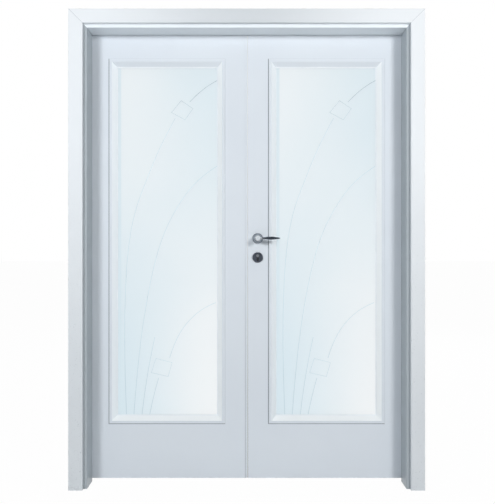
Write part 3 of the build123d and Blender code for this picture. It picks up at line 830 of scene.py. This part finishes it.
# A painted shade for the screws' crossed recesses
recessShade = softMaterial("screwRecessShade")[0]
hingeMetals = [hingeSatin, recessShade]
lockMetals = [lockSatin, recessShade]
rebateX, edgeX = screw["framePlate"], screw["leafPlate"]
hingeSets = {
    "frame_hinge_screws": ("frame", hingeScrews(rebateX, -1) + hingeScrews(-rebateX, 1)),
    "active_hinge_screws": ("active_leaf", hingeScrews(edgeX, 1)),
    "passive_hinge_screws": ("passive_leaf", hingeScrews(-edgeX, -1)),
}
for setName, (body, places) in hingeSets.items():
    screwSet(setName, body, hingeMetals, screw["radius"], places)

forendX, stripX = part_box("lock_forend")[0].x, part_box("strike_plate")[1].x
forendScrews = endScrews("lock_forend", forendX, -1)
screwSet("forend_screws", "active_leaf", lockMetals, screw["small"], forendScrews)
stripScrews = [place for node in ("strike_plate", "top_bolt_housing", "bottom_bolt_housing")
               for place in endScrews(node, stripX, 1)]
screwSet("strip_screws", "passive_leaf", lockMetals, screw["small"], stripScrews)
keepLow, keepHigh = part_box("head_keep")
keepY, keepInset = (keepLow.y + keepHigh.y) / 2, screw["keepInset"]
keepEnds = (keepLow.x + keepInset, keepHigh.x - keepInset)
keepScrews = [((x, keepY, keepLow.z), (0, 0, -1)) for x in keepEnds]
screwSet("keep_screws", "frame", lockMetals, screw["small"], keepScrews)
print("scene pieces done")

# Floor, light and camera
studio = {
    "floorSize": 60.0,
    "floorColour": (0.86, 0.87, 0.88, 1),
    "floorRoughness": 0.8,
    "floorWhite": 0.98,
    "white": (1.0, 1.0, 1.0, 1.0),
    "ambient": (0.90, 0.95, 1.0, 1),
    "ambientStrength": 0.12,
    "roomColour": (0.05, 0.06, 0.085, 1),
    "roomUpper": (0.80, 0.84, 0.88, 1),
    "horizon": (-0.004, 0.022),
    "bandTop": (0.10, 0.30),
    "overhead": (0.70, 0.98),
    "overheadShare": 0.6,
    "roomStart": 0.25,
    "roomEnd": -0.45,
    "mirrorFloor": (0.06, 0.07, 0.09, 1),
    "mirrorNear": -0.5,
    "mirrorFar": -1.1,
}


def cameraOrSeen(tree, path):
    seen = mathNode(tree, "MAXIMUM", path.outputs["Is Camera Ray"], path.outputs["Is Transmission Ray"])
    return mathNode(tree, "MAXIMUM", seen, path.outputs["Is Glossy Ray"])


# Light that goes through rough glass counts as glossy too, and isn't meant here
def mirroredOnly(tree, path):
    straight = mathNode(tree, "SUBTRACT", 1.0, path.outputs["Is Transmission Ray"])
    return mathNode(tree, "MULTIPLY", path.outputs["Is Glossy Ray"], straight)


def makeFloor():
    bm = bmesh.new()
    bmesh.ops.create_grid(bm, x_segments=1, y_segments=1, size=studio["floorSize"])
    mesh = bpy.data.meshes.new("floor")
    bm.to_mesh(mesh)
    bm.free()
    floor = bpy.data.objects.new("floor", mesh)
    bpy.context.scene.collection.objects.link(floor)
    material, tree, shader = newMaterial("paleFloor", Roughness=studio["floorRoughness"])
    shader.inputs["Base Color"].default_value = studio["floorColour"]
    glow = addNode(tree, "ShaderNodeEmission")
    mix = addNode(tree, "ShaderNodeMixShader")
    path = addNode(tree, "ShaderNodeLightPath")
    depth = axesOf(tree, objectCoords(tree))["Y"]
    far = rangeNode(tree, depth, studio["mirrorFar"], studio["mirrorNear"], 1.0, 0.0)
    mirrored = mathNode(tree, "MULTIPLY", far, mirroredOnly(tree, path))
    tree.links.new(mixColour(tree, mirrored, studio["white"], studio["mirrorFloor"]), glow.inputs["Color"])
    share = mathNode(tree, "MULTIPLY", cameraOrSeen(tree, path), studio["floorWhite"])
    tree.links.new(share, mix.inputs[0])
    tree.links.new(shader.outputs[0], mix.inputs[1])
    tree.links.new(glow.outputs[0], mix.inputs[2])
    tree.links.new(mix.outputs[0], tree.nodes["Material Output"].inputs["Surface"])
    mesh.materials.append(material)


def makeWorld():
    world = bpy.data.worlds.new("studio")
    world.use_nodes = True
    tree = world.node_tree
    background = tree.nodes["Background"]
    background.inputs["Color"].default_value = studio["ambient"]
    background.inputs["Strength"].default_value = studio["ambientStrength"]
    path = addNode(tree, "ShaderNodeLightPath")
    axes = axesOf(tree, addNode(tree, "ShaderNodeTexCoord").outputs["Generated"])
    front = rangeNode(tree, axes["Y"], studio["roomEnd"], studio["roomStart"], 1.0, 0.0)
    dim = mathNode(tree, "MULTIPLY", front, mirroredOnly(tree, path))
    white = addNode(tree, "ShaderNodeBackground")
    above = rangeNode(tree, axes["Z"], *studio["horizon"], 0.0, 1.0)
    below = rangeNode(tree, axes["Z"], *studio["bandTop"], 1.0, 0.0)
    band = mathNode(tree, "MULTIPLY", above, below)
    overhead = rangeNode(tree, axes["Z"], *studio["overhead"], 0.0, studio["overheadShare"])
    lightRoom = mathNode(tree, "MAXIMUM", band, overhead)
    room = mixColour(tree, lightRoom, studio["roomColour"], studio["roomUpper"])
    tree.links.new(mixColour(tree, dim, studio["white"], room), white.inputs["Color"])
    mix = addNode(tree, "ShaderNodeMixShader")
    tree.links.new(cameraOrSeen(tree, path), mix.inputs[0])
    tree.links.new(background.outputs[0], mix.inputs[1])
    tree.links.new(white.outputs[0], mix.inputs[2])
    tree.links.new(mix.outputs[0], tree.nodes["World Output"].inputs["Surface"])
    bpy.context.scene.world = world


# Each lamp: place, aim, size across and down, power, colour
lamps = {
    "rightLamp": ((2.2, -3.3, 2.4), (0.0, 0.0, 1.8), (1.0, 1.0), 80.0, (1.0, 0.99, 0.98)),
    "leftLamp": ((-2.2, -3.3, 2.35), (0.0, 0.0, 1.8), (1.0, 1.0), 75.0, (0.97, 0.985, 1.0)),
    "rearLamp": ((0.8, 4.6, 3.0), (0.0, 0.0, 1.0), (2.0, 2.0), 165.0, (0.98, 0.99, 1.0)),
}


def makeLamp(name):
    place, aim, size, power, colour = lamps[name]
    lamp = bpy.data.lights.new(name, "AREA")
    lamp.shape = "RECTANGLE"
    lamp.size, lamp.size_y = size
    lamp.energy = power
    lamp.color = colour
    holder = bpy.data.objects.new(name, lamp)
    holder.location = place
    holder.rotation_euler = (Vector(aim) - Vector(place)).to_track_quat("-Z", "Y").to_euler()
    holder.visible_transmission = False
    holder.visible_glossy = False
    bpy.context.scene.collection.objects.link(holder)


# The photograph looks square at the door from just below half its height
view = {"place": (0.0035, -2.478, 1.046), "lens": 39.1, "sensor": 36.0}


def makeCamera():
    camera = bpy.data.cameras.new("camera")
    camera.lens = view["lens"]
    camera.sensor_width = view["sensor"]
    holder = bpy.data.objects.new("camera", camera)
    holder.location = view["place"]
    holder.rotation_euler = (math.pi / 2, 0.0, 0.0)
    bpy.context.scene.collection.objects.link(holder)
    bpy.context.scene.camera = holder


makeFloor()
makeWorld()
for lampName in lamps:
    makeLamp(lampName)
makeCamera()
bpy.context.scene.view_settings.view_transform = "Standard"
print("studio set")
